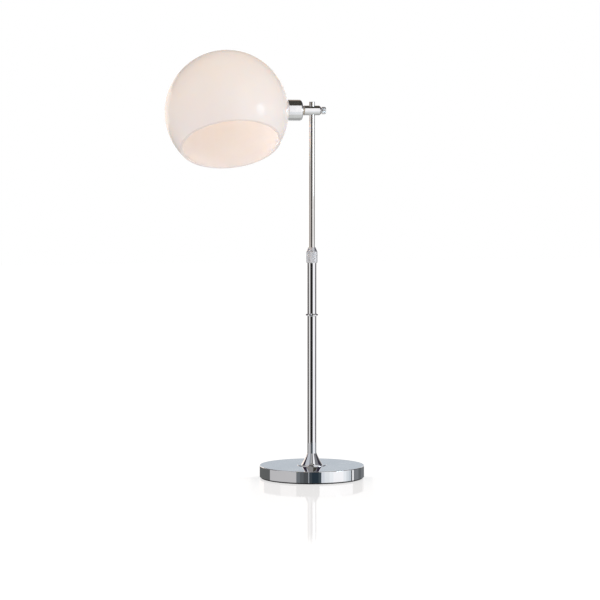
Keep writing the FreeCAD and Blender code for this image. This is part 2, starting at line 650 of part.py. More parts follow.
def clamp_pad():
    """The brass slug that the clamp screw presses against the rod."""
    near = ROD_RADIUS + FACE
    return along_arm(turned([
        (0, -near), (PAD_RADIUS, -near), (PAD_RADIUS, -near - PAD_LENGTH + 0.3),
        (PAD_RADIUS - 0.3, -near - PAD_LENGTH), (0, -near - PAD_LENGTH)]))


def clamp_screw():
    """The thumb screw on the arm's free end: a threaded shank, a neck and a knurled knob."""
    shank_start = ROD_RADIUS + FACE * 2 + PAD_LENGTH
    knob_start = HUB_TO_SCREW + KNOB_NECK
    knob_end = knob_start + KNOB_LENGTH
    outer_edge = rounded((KNOB_RADIUS, -knob_start), (KNOB_RADIUS, -knob_end), (0, -knob_end),
                         KNOB_BEVEL)
    return along_arm(turned([
        (0, -shank_start), (SCREW_RADIUS - EASE, -shank_start), (SCREW_RADIUS, -shank_start - EASE),
        (SCREW_RADIUS, -HUB_TO_SCREW - FACE), (KNOB_NECK_RADIUS, -HUB_TO_SCREW - FACE),
        (KNOB_NECK_RADIUS, -knob_start), (KNOB_RADIUS - EASE, -knob_start),
        (KNOB_RADIUS, -knob_start - EASE), *outer_edge, (0, -knob_end)]))


def spindle():
    """The hollow spindle that the shade rolls on: a journal in the hub, a flange, and a thread
    that carries the cup's nut and the lampholder. The grub screw's tip runs in the journal's
    groove, and the groove's two ends stop the roll."""
    inner = HUB_TO_SHADE - SPINDLE_DEPTH + 0.2
    floor = SPINDLE_RADIUS - GROOVE_DEPTH
    body = turned([
        (LEAD_BORE, inner), (SPINDLE_RADIUS, inner), (SPINDLE_RADIUS, FLANGE_AT),
        (SPINDLE_FLANGE_RADIUS, FLANGE_AT), (SPINDLE_FLANGE_RADIUS, CUP_AT),
        (SPINDLE_RADIUS, CUP_AT), (SPINDLE_RADIUS, SPINDLE_END), (LEAD_BORE, SPINDLE_END)])
    middle = HUB_TO_SHADE - GROOVE_FROM_FACE
    end_room = math.degrees(math.atan(GRUB_TIP_RADIUS / floor)) + STOP_CLEARANCE
    start = 180 - (ROLL_LIMIT - MOUTH_ROLL) - end_room
    groove = ring_sector(SPINDLE_RADIUS + 1, floor, middle - GROOVE_WIDTH / 2,
                         middle + GROOVE_WIDTH / 2, start, 2 * (ROLL_LIMIT + end_room))
    return along_arm(body.cut(groove))


# ---------------------------------------------------------------- socket cup
def cup():
    """The chrome cup: a straight skirt, a rounded shoulder and a flat back with a hole."""
    slope = math.tan(math.radians(CUP_SHOULDER_ANGLE))
    back = (CUP_BACK_RADIUS, CUP_AT)
    rim = (CUP_RADIUS, CUP_RIM)
    shoulder = (CUP_RADIUS, CUP_AT + (CUP_RADIUS - CUP_BACK_RADIUS) * slope)
    inner_back = (CUP_BACK_RADIUS + 0.3, CUP_AT + CUP_BACK_WALL)
    inner_rim = (CUP_RADIUS - CUP_WALL, CUP_RIM)
    inner_shoulder = (inner_rim[0], inner_back[1] + (inner_rim[0] - inner_back[0]) * slope)
    hole = SPINDLE_RADIUS + RUN
    return along_arm(turned([
        (hole, CUP_AT), back, *rounded(back, shoulder, rim, CUP_SHOULDER_ROUND), rim,
        inner_rim, *rounded(inner_rim, inner_shoulder, inner_back, CUP_SHOULDER_ROUND - CUP_WALL),
        inner_back, (hole, inner_back[1])]))


def cup_washer():
    return along_arm(pipe(CUP_WASHER_RADIUS, SPINDLE_RADIUS + THREAD, CUP_WASHER_AT, CUP_NUT_AT))


def cup_nut():
    return along_arm(hex_nut(CUP_NUT_FLATS, SPINDLE_RADIUS + THREAD, CUP_NUT_AT,
                             CUP_NUT_AT + CUP_NUT_HEIGHT))


# ---------------------------------------------------------------- globe and what clamps it
def glass_ball(radius):
    """A ball round the globe's own centre, which the soft rings are shaped to."""
    return Part.makeSphere(radius, Vector(-GLOBE_REACH, 0, ARM_HEIGHT - GLASS_DROP))


def globe():
    """The blown globe: a ball cut off by its mouth, with a ground and eased rim, and a round
    hole in its side for the lampholder, a little above its middle. Its seam is turned away
    from that hole."""
    ball = Part.makeSphere(GLOBE_RADIUS).cut(Part.makeSphere(INNER_RADIUS))
    blown = ball.cut(rod(GLOBE_RADIUS, -GLOBE_RADIUS, -MOUTH_DEPTH))
    rim = [edge for edge in blown.Edges if edge.BoundBox.ZMax < -MOUTH_DEPTH + MOUTH_EASING]
    blown = blown.makeChamfer(MOUTH_EASING, rim)
    blown.rotate(Vector(0, 0, 0), Vector(0, 0, 1), 90)
    blown.rotate(Vector(0, 0, 0), Vector(1, 0, 0), -MOUTH_ROLL)
    blown.translate(Vector(-GLOBE_REACH, 0, ARM_HEIGHT - GLASS_DROP))
    neck = rod(NECK_HOLE_RADIUS, 0, GLOBE_REACH - GLOBE_RADIUS * 0.5)
    return blown.cut(along_arm(neck))


def outer_gasket():
    """The soft ring between the cup's rim and the glass, shaped to the ball, so that it is
    thicker above the arm than below it."""
    inner = NECK_HOLE_RADIUS + 0.6
    ring = along_arm(pipe(CUP_RADIUS, inner, CUP_RIM, CUP_RIM + OUTER_GASKET * 3))
    return ring.cut(glass_ball(GLOBE_RADIUS))


def inner_gasket():
    """The soft ring between the glass and the ring nut."""
    inner = NECK_HOLE_RADIUS + 0.4
    ring = along_arm(pipe(INNER_GASKET_RADIUS, inner, CUP_RIM, RING_NUT_AT))
    return ring.common(glass_ball(INNER_RADIUS))


def ring_nut():
    """The threaded ring on the lampholder that clamps the glass, with finger notches."""
    top = RING_NUT_AT + RING_NUT_HEIGHT
    edge = 0.8
    ring = turned([
        (HOLDER_RADIUS + THREAD, RING_NUT_AT), (RING_NUT_RADIUS, RING_NUT_AT),
        (RING_NUT_RADIUS, top - edge), (RING_NUT_RADIUS - edge, top),
        (HOLDER_RADIUS + THREAD + edge, top), (HOLDER_RADIUS + THREAD, top - edge)])
    notch = Part.makeCylinder(RING_NUT_NOTCH_RADIUS, RING_NUT_HEIGHT * 3,
                              Vector(RING_NUT_RADIUS + 0.4, 0, RING_NUT_AT - RING_NUT_HEIGHT))
    return along_arm(ring.cut(Part.makeCompound(around(notch, RING_NUT_NOTCHES))))


# ---------------------------------------------------------------- lampholder
def holder_cap():
    """The back of the lampholder, with the threaded entry for the spindle."""
    outer = HOLDER_RADIUS - 0.6
    entry_end = HOLDER_CAP_AT + HOLDER_ENTRY
    return along_arm(turned([
        (SPINDLE_RADIUS + THREAD, HOLDER_CAP_AT), (SPINDLE_RADIUS + 3.0, HOLDER_CAP_AT),
        (outer, HOLDER_CAP_AT + 4.0, (outer - 1.4, HOLDER_CAP_AT + 1.4)),
        (outer, SLEEVE_AT), (outer - HOLDER_CAP_WALL, SLEEVE_AT),
        (outer - HOLDER_CAP_WALL, entry_end), (SPINDLE_RADIUS + THREAD, entry_end)]))


def holder_core():
    """The insulating core that carries the contacts, with holes for two terminal screws."""
    spigot = HOLDER_RADIUS - 0.6 - HOLDER_CAP_WALL - 0.1
    core = turned([
        (0, CORE_AT), (spigot, CORE_AT), (spigot, SLEEVE_AT), (HOLDER_CORE_RADIUS, SLEEVE_AT),
        (HOLDER_CORE_RADIUS, CORE_TOP), (0, CORE_TOP)])
    post = Part.makeCylinder(TERMINAL_RADIUS + THREAD, HOLDER_CORE_LENGTH,
                             Vector(TERMINAL_OFFSET, 0, CORE_AT - 1))
    return along_arm(core.cut(Part.makeCompound(around(post, 2))))


def terminal_screws():
    """The two screws that hold the leads, with slotted heads."""
    head = 1.2
    end = CORE_TOP - 2.0
    screw = turned([
        (0, CORE_AT - head), (TERMINAL_RADIUS + 0.6, CORE_AT - head),
        (TERMINAL_RADIUS + 0.6, CORE_AT), (TERMINAL_RADIUS, CORE_AT), (TERMINAL_RADIUS, end),
        (0, end)])
    screw.translate(Vector(TERMINAL_OFFSET, 0, 0))
    slot = Part.makeBox(8.0, 0.6, 0.7, Vector(TERMINAL_OFFSET - 4.0, -0.3, CORE_AT - head - 0.1))
    return along_arm(Part.makeCompound(around(screw.cut(slot), 2)))


def holder_sleeve():
    """The lampholder's outer sleeve, threaded outside for the ring nut."""
    lip = 1.2
    inner = HOLDER_RADIUS - HOLDER_SLEEVE_WALL
    return along_arm(turned([
        (inner, SLEEVE_AT), (HOLDER_RADIUS - EASE, SLEEVE_AT), (HOLDER_RADIUS, SLEEVE_AT + EASE),
        (HOLDER_RADIUS, HOLDER_MOUTH - 0.6), (HOLDER_RADIUS - 0.6, HOLDER_MOUTH),
        (inner - lip, HOLDER_MOUTH), (inner - lip, HOLDER_MOUTH - 1.5), (inner, HOLDER_MOUTH - 1.5)]))


def screw_shell():
    """The rolled brass thread in the lampholder, open at the lamp's side, with a floor."""
    crest = LAMP_THREAD_RADIUS + LAMP_FIT
    valley = crest - LAMP_THREAD_DEPTH
    hole = 3.4
    profile = [(hole, CORE_TOP), (valley + SHELL_THREAD_WALL, CORE_TOP)]
    profile += lamp_thread(crest + SHELL_THREAD_WALL, LAMP_CAP_AT)
    profile += lamp_thread(crest, LAMP_CAP_AT)[::-1]
    profile += [(valley, CORE_TOP + SHELL_THREAD_WALL), (hole, CORE_TOP + SHELL_THREAD_WALL)]
    return along_arm(turned(profile))


def centre_contact():
    """The bent brass tongue that meets the lamp's button."""
    floor = CORE_TOP
    tip = floor + CONTACT_RISE
    strip = 0.4
    width = 3.0
    outline = [
        Vector(-2.6, 0, floor), Vector(1.6, 0, floor), Vector(2.6, 0, floor + 0.6),
        Vector(-1.2, 0, tip), Vector(-1.5, 0, tip - strip), Vector(1.7, 0, floor + 0.7),
        Vector(1.4, 0, floor + strip), Vector(-2.6, 0, floor + strip), Vector(-2.6, 0, floor)]
    face = Part.Face(Part.makePolygon(outline))
    tongue = face.extrude(Vector(0, width, 0))
    tongue.translate(Vector(0, -width / 2, 0))
    return along_arm(tongue)


# ---------------------------------------------------------------- lamp
def lamp_cap():
    """The lamp's rolled metal cap."""
    points = lamp_thread(LAMP_THREAD_RADIUS, LAMP_CAP_AT)
    top = points[-1][1]
    wall = 0.5
    bore = LAMP_THREAD_RADIUS - LAMP_THREAD_DEPTH - wall
    profile = [(bore, LAMP_BACK_AT + wall), (LAMP_INSULATOR_RADIUS, LAMP_BACK_AT + wall),
               (LAMP_INSULATOR_RADIUS, LAMP_BACK_AT), (bore, LAMP_BACK_AT)]
    profile += points
    profile += [(LAMP_NECK, top + 1.0), (bore, top + 1.0)]
    return along_arm(turned(profile))


def lamp_insulator():
    """The dark disc of glass that insulates the centre contact from the lamp's cap."""
    face = LAMP_BACK_AT - LAMP_BUTTON_RISE / 2
    return along_arm(turned([
        (0, face), (LAMP_BUTTON_RADIUS, face), (LAMP_INSULATOR_RADIUS, LAMP_BACK_AT),
        (LAMP_INSULATOR_RADIUS, LAMP_BACK_AT + 0.45), (0, LAMP_BACK_AT + 0.45)]))


def lamp_button():
    """The lamp's centre contact."""
    face = LAMP_BACK_AT - LAMP_BUTTON_RISE / 2
    tip = LAMP_BACK_AT - LAMP_BUTTON_RISE
    return along_arm(turned([
        (0, tip), (LAMP_BUTTON_RADIUS - 0.6, tip),
        (LAMP_BUTTON_RADIUS, face, (LAMP_BUTTON_RADIUS - 0.15, tip + 0.3)), (0, face)]))


def lamp_glass():
    """The tubular lamp's frosted envelope, with a round tip, hollow and closed at its neck."""
    start = LAMP_GLASS_AT + 1.0
    end = LAMP_GLASS_AT + LAMP_LENGTH
    neck = LAMP_NECK - 0.4
    inner = LAMP_RADIUS - LAMP_GLASS_WALL
    tip_centre = end - LAMP_RADIUS
    shoulder = start + 9.0
    half = math.sqrt(0.5)
    return along_arm(turned([
        (0, start), (neck, start), (neck, start + 1.5),
        (LAMP_RADIUS, shoulder, (neck + 3.4, start + 4.2)),
        (LAMP_RADIUS, tip_centre),
        (0, end, (LAMP_RADIUS * half, tip_centre + LAMP_RADIUS * half)),
        (0, end - LAMP_GLASS_WALL),
        (inner, tip_centre, (inner * half, tip_centre + inner * half)),
        (inner, shoulder + 0.3),
        (neck - 0.9, start + 2.0, (neck + 2.4, start + 4.8)),
        (neck - 0.9, start + 0.9), (0, start + 0.9)]))


# ---------------------------------------------------------------- write every piece
PIECES = {
    "base_shell": base_shell, "base_weight": base_weight, "foot_pad": foot_pad,
    "cord_bushing": cord_bushing, "stem_nipple": stem_nipple, "stem_washer": stem_washer,
    "toothed_washer": toothed_washer, "stem_nut": stem_nut, "rosette": rosette,
    "foot_cone": foot_cone, "tube_plug": tube_plug, "lower_tube": lower_tube,
    "tube_ring": tube_ring, "joint_insert": joint_insert, "guide_bush": guide_bush,
    "sleeve_tube": sleeve_tube, "collet": collet, "press_ring": press_ring,
    "lock_collar": lock_collar, "upper_rod": upper_rod, "rod_cap": rod_cap,
    "rod_glider": rod_glider, "hub": hub, "grub_screw": grub_screw,
    "friction_washer": friction_washer, "clamp_pad": clamp_pad, "clamp_screw": clamp_screw,
    "spindle": spindle, "cup": cup, "cup_washer": cup_washer, "cup_nut": cup_nut,
    "globe": globe, "outer_gasket": outer_gasket, "inner_gasket": inner_gasket,
    "ring_nut": ring_nut, "holder_cap": holder_cap, "holder_core": holder_core,
    "terminal_screws": terminal_screws, "holder_sleeve": holder_sleeve,
    "screw_shell": screw_shell, "centre_contact": centre_contact, "lamp_cap": lamp_cap,
    "lamp_insulator": lamp_insulator, "lamp_button": lamp_button, "lamp_glass": lamp_glass,
}


def main():
    os.makedirs("parts", exist_ok=True)
    for name, build in PIECES.items():
        shape = build()
        if not shape.isValid() or not shape.Solids:
            raise ValueError(name + " is not a valid solid")
        shape.exportStep("parts/" + name + ".step")
        print(name, len(shape.Solids), "solid(s)", round(shape.Volume, 1), "mm3")


main()
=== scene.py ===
import math

import bmesh
import bpy
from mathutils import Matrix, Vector


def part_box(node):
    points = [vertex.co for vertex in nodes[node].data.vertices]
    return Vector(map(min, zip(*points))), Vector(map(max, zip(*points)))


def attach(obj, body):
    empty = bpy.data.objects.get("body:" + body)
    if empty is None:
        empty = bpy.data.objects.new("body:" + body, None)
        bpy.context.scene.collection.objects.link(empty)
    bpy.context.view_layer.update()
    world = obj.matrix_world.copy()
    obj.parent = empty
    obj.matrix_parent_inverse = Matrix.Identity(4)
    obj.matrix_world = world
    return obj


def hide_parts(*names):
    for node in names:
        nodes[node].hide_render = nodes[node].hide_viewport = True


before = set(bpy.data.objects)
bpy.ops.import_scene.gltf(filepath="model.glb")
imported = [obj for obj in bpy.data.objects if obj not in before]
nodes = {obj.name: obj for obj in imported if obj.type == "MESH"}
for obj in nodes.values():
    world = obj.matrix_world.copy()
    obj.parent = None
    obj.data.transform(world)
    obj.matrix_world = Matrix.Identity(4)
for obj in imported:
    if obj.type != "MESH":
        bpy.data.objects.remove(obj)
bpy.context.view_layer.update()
scene = bpy.context.scene
print("frame loaded,", len(nodes), "nodes")

tiny = 0.00001      # in metres, for picking edges by their place
smoothUpTo = 20      # degrees between two faces that still look round


# small helpers for modelling
def deselectAll():
    if bpy.context.object and bpy.context.object.mode != "OBJECT":
        bpy.ops.object.mode_set(mode="OBJECT")
    bpy.ops.object.select_all(action="DESELECT")


def selectOnly(piece):
    deselectAll()
    piece.select_set(True)
    bpy.context.view_layer.objects.active = piece


def nameNew(name):
    # names what the last operator added
    piece = bpy.context.object
    piece.name = piece.data.name = name
    return piece


def applyPlace():
    bpy.ops.object.transform_apply(location=True, rotation=True, scale=True)


def pick(piece, kind, wanted):
    # selects the faces or edges that pass the test, and nothing else
    bpy.ops.mesh.select_mode(type=kind)
    bpy.ops.mesh.select_all(action="DESELECT")
    shape = bmesh.from_edit_mesh(piece.data)
    for element in shape.faces if kind == "FACE" else shape.edges:
        element.select_set(wanted(element))
    bmesh.update_edit_mesh(piece.data)


def turnProfile(radius, height, profile):
    # carries the selected ring of edges along a profile, from one radius and height to the next
    for nextRadius, nextHeight in profile:
        bpy.ops.mesh.extrude_edges_move(
            TRANSFORM_OT_translate={"value": (0, 0, nextHeight - height)})
        share = nextRadius / radius
        bpy.ops.transform.resize(value=(share, share, 1), center_override=(0, 0, nextHeight))
        radius, height = nextRadius, nextHeight


def knurlBand(name, s, bottom, top):
    # a diamond knurl: a plain grid, poked, its grid lines dissolved, each diamond poked outwards
    root = s["radius"] - s["tooth"]
    bpy.ops.mesh.primitive_cylinder_add(
        vertices=s["sides"], radius=root, depth=top - bottom, end_fill_type="NOTHING",
        location=(0, 0, (top + bottom) / 2))
    piece = nameNew(name)
    applyPlace()
    bpy.ops.object.mode_set(mode="EDIT")
    pick(piece, "EDGE", lambda e: abs(e.verts[0].co.z - e.verts[1].co.z) > (top - bottom) / 2)
    bpy.ops.mesh.subdivide(number_cuts=s["rows"] - 1)
    bpy.ops.mesh.select_all(action="SELECT")
    bpy.ops.mesh.poke(offset=root * (1 - math.cos(math.pi / s["sides"])))     # out to the circle

    def gridLine(edge):
        a, b = edge.verts[0].co, edge.verts[1].co
        level = abs(a.z - b.z) < tiny
        upright = (a.xy - b.xy).length < tiny
        return (level or upright) and not edge.is_boundary
    pick(piece, "EDGE", gridLine)
    bpy.ops.mesh.dissolve_edges(use_verts=False)
    pick(piece, "FACE", lambda f: len(f.verts) == 4)
    bpy.ops.mesh.poke(offset=s["tooth"])
    return piece


def closeSeams(gap=0.000004):
    bpy.ops.mesh.select_all(action="SELECT")
    bpy.ops.mesh.remove_doubles(threshold=gap)
    bpy.ops.mesh.normals_make_consistent(inside=False)
    bpy.ops.object.mode_set(mode="OBJECT")


# the knurled collar of the height lock, in place of its plain CAD solid
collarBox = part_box("lock_collar")
collarSizes = {
    "radius": collarBox[1].x, "bottom": collarBox[0].z, "shoulder": collarBox[0].z + 0.019,
    "top": collarBox[1].z, "landRadius": 0.0059, "rodBore": 0.00505, "roof": 0.3732,
    "threadBore": 0.00702, "mouthBore": 0.00748, "mouthTop": 0.3537,
    "tooth": 0.00032, "sides": 42, "rows": 13,
    "gripEdge": 0.0005, "shoulderEdge": 0.0006, "coneEdge": 0.00012, "boreEdge": 0.0001,
}


def makeCollar(s):
    deselectAll()
    low, high = s["bottom"] + s["gripEdge"], s["shoulder"] - s["gripEdge"]
    root = s["radius"] - s["tooth"]
    piece = knurlBand("knurledCollar", s, low, high)
    # from the grip's upper edge: chamfer, cone, flat top, rod bore, roof, thread, mouth,
    # and back under the grip
    pick(piece, "EDGE", lambda e: e.is_boundary and e.verts[0].co.z > high - tiny)
    turnProfile(root, high, (
        (s["radius"] - s["shoulderEdge"], s["shoulder"]),
        (s["landRadius"] + s["coneEdge"], s["top"] - s["coneEdge"]),
        (s["landRadius"] - s["boreEdge"], s["top"]), (s["rodBore"] + s["boreEdge"], s["top"]),
        (s["rodBore"], s["top"] - s["boreEdge"]), (s["rodBore"], s["roof"]),
        (s["threadBore"], s["roof"]), (s["threadBore"], s["mouthTop"]),
        (s["mouthBore"], s["mouthTop"]), (s["mouthBore"], s["bottom"]),
        (s["radius"] - s["gripEdge"], s["bottom"]), (root, low)))
    closeSeams()
    return piece


collar = makeCollar(collarSizes)
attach(collar, "lock_collar")
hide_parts("lock_collar")
print("collar made,", len(collar.data.polygons), "faces")

# the knurled knob of the clamp screw, on the arm's free end
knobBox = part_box("clamp_screw")
knobSizes = {
    "radius": 0.006, "gripFrom": 0.0155, "end": knobBox[1].x, "neckRadius": 0.0042,
    "neckFrom": 0.01465, "shankRadius": 0.0025, "shankFrom": knobBox[0].x,
    "axisHeight": (knobBox[0].z + knobBox[1].z) / 2,
    "tooth": 0.00026, "sides": 32, "rows": 5, "edge": 0.0004, "crown": 0.0007,
    "crownEdge": 0.00028, "dimple": 0.0010, "dimpleFloor": 0.0008, "dimpleDepth": 0.0002,
}


def makeKnob(s):
    # turned upright, then laid along the arm
    deselectAll()
    low, high = s["gripFrom"] + s["edge"], s["end"] - s["crown"]
    root = s["radius"] - s["tooth"]
    piece = knurlBand("knurledKnob", s, low, high)
    pick(piece, "EDGE", lambda e: e.is_boundary and e.verts[0].co.z > high - tiny)
    turnProfile(root, high, (     # the crowned end, with a small dimple from the lathe's centre
        (s["radius"] - s["crownEdge"], high + s["edge"]), (s["radius"] - s["crown"], s["end"]),
        (s["dimple"], s["end"]), (s["dimpleFloor"], s["end"] - s["dimpleDepth"])))
    bpy.ops.mesh.merge(type="CENTER")
    pick(piece, "EDGE", lambda e: e.is_boundary)
    turnProfile(root, low, (     # back along the neck and the shank to its tip in the hub
        (s["radius"] - s["edge"], s["gripFrom"]), (s["neckRadius"], s["gripFrom"]),
        (s["neckRadius"], s["neckFrom"]), (s["shankRadius"], s["neckFrom"]),
        (s["shankRadius"], s["shankFrom"] + s["edge"]),
        (s["shankRadius"] - s["edge"], s["shankFrom"]), (s["edge"], s["shankFrom"])))
    bpy.ops.mesh.merge(type="CENTER")
    closeSeams()
    piece.rotation_euler = (0, math.radians(90), 0)
    piece.location = (0, 0, s["axisHeight"])
    selectOnly(piece)
    applyPlace()
    return piece


knob = makeKnob(knobSizes)
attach(knob, "clamp_screw")
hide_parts("clamp_screw")
print("knob made,", len(knob.data.polygons), "faces")


# small helpers for shader nodes
def addNode(tree, kind, inputs=None, **settings):
    node = tree.nodes.new("ShaderNode" + kind)
    for name, value in settings.items():
        setattr(node, name, value)
    for socket, value in (inputs or {}).items():
        node.inputs[socket].default_value = value
    return node


def wire(tree, output, node, socket):
    tree.links.new(output, node.inputs[socket])


def spread(tree, value, start, end, low, high, curve="LINEAR"):
    # low where the value is at start, high where it is at end
    node = addNode(tree, "MapRange", {"From Min": start, "From Max": end, "To Min": low,
                                      "To Max": high}, interpolation_type=curve)
    wire(tree, value, node, "Value")
    return node.outputs["Result"]


def product(tree, first, second):
    # an output times another output or a number
    node = addNode(tree, "Math", operation="MULTIPLY")
    wire(tree, first, node, 0)
    if isinstance(second, float):
        node.inputs[1].default_value = second
    else:
        wire(tree, second, node, 1)
    return node.outputs["Value"]


def reachAlong(tree, place, direction):
    # how far a place lies in a direction
    node = addNode(tree, "VectorMath", {1: direction}, operation="DOT_PRODUCT")
    wire(tree, place, node, 0)
    return node.outputs["Value"]


def mixShaders(tree, share, first, second):
    node = addNode(tree, "MixShader")
    for output, socket in ((share, "Fac"), (first, 1), (second, 2)):
        wire(tree, output, node, socket)
    return node.outputs["Shader"]


def seenItself(tree):
    # 1 where the eye sees a thing, directly, in metal or through glass; 0 where it lights others
    rays = addNode(tree, "LightPath")
    largest = rays.outputs["Is Camera Ray"]
    for ray in ("Is Glossy Ray", "Is Transmission Ray"):
        node = addNode(tree, "Math", operation="MAXIMUM")
        wire(tree, largest, node, 0)
        wire(tree, rays.outputs[ray], node, 1)
        largest = node.outputs["Value"]
    return largest


# patterns on the object's own coordinates; sizes and pitches are in metres
def patchNoise(tree, size, detail=4.0, stretch=(1, 1, 1)):
    place = addNode(tree, "TexCoord")
    stretched = addNode(tree, "Mapping", {"Scale": stretch})
    noise = addNode(tree, "TexNoise", {"Scale": 1 / size, "Detail": detail})
    wire(tree, place.outputs["Object"], stretched, "Vector")
    wire(tree, stretched.outputs["Vector"], noise, "Vector")
    return noise.outputs["Fac"]


def cellPattern(tree, size):
    place = addNode(tree, "TexCoord")
    cells = addNode(tree, "TexVoronoi", {"Scale": 1 / size})
    wire(tree, place.outputs["Object"], cells, "Vector")
    return cells.outputs["Distance"]


def latheLines(tree, pitch, centre=(0, 0, 0), alongX=False):
    # fine rings round an axis, on flat faces, cones and straight parts alike
    place = addNode(tree, "TexCoord")
    centred = addNode(tree, "Mapping", {"Location": [-number for number in centre]})
    across = addNode(tree, "VectorMath", {1: (0, 1, 1) if alongX else (1, 1, 0)},
                     operation="MULTIPLY")
    radius = addNode(tree, "VectorMath", operation="LENGTH")
    along = addNode(tree, "SeparateXYZ")
    both = addNode(tree, "CombineXYZ")
    noise = addNode(tree, "TexNoise", {"Scale": 1 / pitch, "Detail": 3})
    wire(tree, place.outputs["Object"], centred, "Vector")
    wire(tree, centred.outputs["Vector"], across, 0)
    wire(tree, across.outputs["Vector"], radius, 0)
    wire(tree, centred.outputs["Vector"], along, 0)
    wire(tree, radius.outputs["Value"], both, "X")
    wire(tree, along.outputs["X" if alongX else "Z"], both, "Y")
    wire(tree, both.outputs["Vector"], noise, "Vector")
    return noise.outputs["Fac"]


def drawPattern(tree, pattern):
    draw, *values = pattern
    return draw(tree, *values)


def tint(tree, pattern, stops):
    ramp = addNode(tree, "ValToRGB")
    points = ramp.color_ramp.elements
    for point, (place, colour) in zip((points[0], points[1]), (stops[0], stops[-1])):
        point.position, point.color = place, (*colour, 1)
    for place, colour in stops[1:-1]:
        points.new(place).color = (*colour, 1)
    wire(tree, drawPattern(tree, pattern), ramp, "Fac")
    wire(tree, ramp.outputs["Color"], tree.nodes["Principled BSDF"], "Base Color")


def relief(tree, pattern, depth, strength=1.0):
    # bumps add up: each new one takes the last one's normal
    shader = tree.nodes["Principled BSDF"]
    bump = addNode(tree, "Bump", {"Strength": strength, "Distance": depth})
    before = shader.inputs["Normal"].links
    if before:
        wire(tree, before[0].from_socket, bump, "Normal")
    wire(tree, drawPattern(tree, pattern), bump, "Height")
    wire(tree, bump.outputs["Normal"], shader, "Normal")


# colour, metal, rough and sockets are plain values; colourBy, roughBy and bumps vary them by a
# pattern: its stops of colour, its lowest and highest roughness, its depth and strength
def makeFinish(look):
    finish = bpy.data.materials.new(look["name"])
    finish.use_nodes = True
    tree = finish.node_tree
    shader = tree.nodes["Principled BSDF"]
    shader.inputs["Base Color"].default_value = (*look["colour"], 1)
    shader.inputs["Metallic"].default_value = look["metal"]
    shader.inputs["Roughness"].default_value = look["rough"]
    for socket, value in look.get("sockets", {}).items():
        shader.inputs[socket].default_value = value
    tint(tree, *look["colourBy"])
    if "roughBy" in look:
        pattern, low, high, *span = look["roughBy"]
        start, end = span or (0.35, 0.65)
        moved = spread(tree, drawPattern(tree, pattern), start, end, low, high)
        wire(tree, moved, shader, "Roughness")
    for bump in look["bumps"]:
        relief(tree, *bump)
    return finish


# turned metal: worn patches, smudges that move the gloss, and the lines of its last tool
chromeLook = {"colour": (0.90, 0.90, 0.93), "worn": (0.85, 0.85, 0.885), "rough": (0.008, 0.035),
              "wornSize": 0.06, "smudge": 0.03, "smudgeDetail": 6, "plainRough": 0.04,
              "pitch": 0.0004, "depth": 0.00000008}
satinLook = {"colour": (0.92, 0.91, 0.92), "worn": (0.84, 0.83, 0.84), "rough": (0.09, 0.15),
             "wornSize": 0.012, "smudge": 0.0072, "smudgeDetail": 5, "plainRough": 0.2,
             "pitch": 0.00018, "depth": 0.0000003}
rodLook = dict(satinLook, colour=(0.84, 0.82, 0.80), worn=(0.80, 0.78, 0.765),
               rough=(0.015, 0.04), depth=0.00000006)
gripLook = dict(satinLook, colour=(1.0, 0.985, 1.0), worn=(0.93, 0.915, 0.94),
                rough=(0.30, 0.40), wornSize=0.006, smudge=0.0036)
armAxis = ((0, 0, knobSizes["axisHeight"]), True)      # for what is turned about the arm


def makeTurned(name, look, axis=()):
    return makeFinish({
        "name": name, "colour": look["colour"], "metal": 1.0, "rough": look["plainRough"],
        "colourBy": ((patchNoise, look["wornSize"]), [(0.3, look["worn"]), (0.6, look["colour"])]),
        "roughBy": ((patchNoise, look["smudge"], look["smudgeDetail"]), *look["rough"]),
        "bumps": [((latheLines, look["pitch"], *axis), look["depth"])]})


polishedChrome = makeTurned("polishedChrome", chromeLook)
satinChromeUpright = makeTurned("satinChromeUpright", satinLook)
satinChromeArm = makeTurned("satinChromeArm", satinLook, armAxis)
satinChromeRod = makeTurned("satinChromeRod", rodLook)
satinChromeGrip = makeTurned("satinChromeGrip", gripLook)

opalLook = {
    "name": "opalGlass", "colour": (0.895, 0.835, 0.80), "metal": 0.0, "rough": 0.13,
    "colourBy": ((patchNoise, 0.09, 3), [(0.35, (0.895, 0.835, 0.80)),
                                         (0.65, (0.915, 0.845, 0.80))]),
    "roughBy": ((patchNoise, 0.02, 4), 0.09, 0.13),
    "bumps": [((patchNoise, 0.05, 1.5), 0.0002, 0.6),      # slow waves left by blowing
              ((cellPattern, 0.0011), 0.000003, 0.5)],      # faint orange peel
    "sockets": {"IOR": 1.5, "Specular IOR Level": 0.32, "Subsurface Weight": 0.7,
                "Subsurface Radius": (1.0, 0.85, 0.7), "Subsurface Scale": 0.004,
                # painted light: the globe glows faintly warm by itself, standing in for the lamp's
                # light coming through the glass
                "Emission Color": (1.0, 0.82, 0.70, 1), "Emission Strength": 0.05},
    "centre": (-0.14137, 0, 0.5958), "mouthTowards": (0, -0.4848, -0.8746),
    # painted light: towards the mouth the glass is painted a bluer tint, and its rim a darker one,
    # a painted shade
    "coolFrom": -0.03, "paintedCoolLight": (0.895, 0.860, 0.855),
    "rimFrom": 0.0586, "rim": (0.82, 0.765, 0.76),
}


